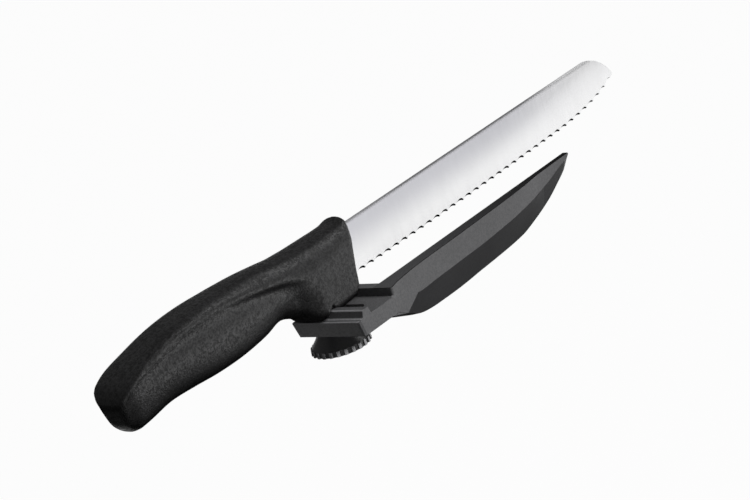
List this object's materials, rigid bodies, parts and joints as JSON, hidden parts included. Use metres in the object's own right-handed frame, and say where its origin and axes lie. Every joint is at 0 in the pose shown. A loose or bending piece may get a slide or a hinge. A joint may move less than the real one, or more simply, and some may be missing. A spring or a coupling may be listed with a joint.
{
  "type": "serrated slicing knife with slice guide",
  "caption": "Round-nosed wavy-edge slicing knife with a moulded handle and a side guide plate that slides across under the guard and is clamped by a knurled thumb knob.",
  "frame": {"origin": "on the blade's flat left face, 50 mm ahead of the guard and 11 mm below the spine, where a magnetic rack holds the knife", "axes": "+X from the handle to the tip, +Y out of the blade's left face, +Z from the edge to the spine"},
  "size_m": [0.3543, 0.0394, 0.0547],
  "materials": {
    "blade_steel": "finely brushed bright stainless steel",
    "handle_plastic": "black moulded plastic with a fine spark-eroded grain",
    "guide_plastic": "dark grey satin moulded plastic",
    "knob_plastic": "black satin moulded plastic",
    "clamp_steel": "plain turned steel",
    "insert_brass": "plain turned brass"
  },
  "bodies": {
    "knife": {"blade": "blade_steel", "handle": "handle_plastic", "threaded_insert": "insert_brass"},
    "guide": {"slice_guide": "guide_plastic"},
    "washer": {"clamp_washer": "clamp_steel"},
    "knob": {"thumb_knob": "knob_plastic", "clamp_stud": "clamp_steel"}
  },
  "joints": [
    {"name": "guide_slide", "type": "slide", "parent": "knife", "child": "guide", "axis": [0, 1, 0], "range_m": [-0.002, 0.015]},
    {"name": "clamp_travel", "type": "slide", "parent": "knife", "child": "washer", "axis": [0, 0, -1], "range_m": [0, 0.0012]},
    {"name": "knob_turn", "type": "hinge", "parent": "washer", "child": "knob", "pos_m": [-0.0673, -0.001, -0.0295], "axis": [0, 0, -1], "range_deg": [0, 540]}
  ],
  "couplings": [
    {"joint": "clamp_travel", "follows": "knob_turn", "m_per_rad": 0.00012732}
  ]
}
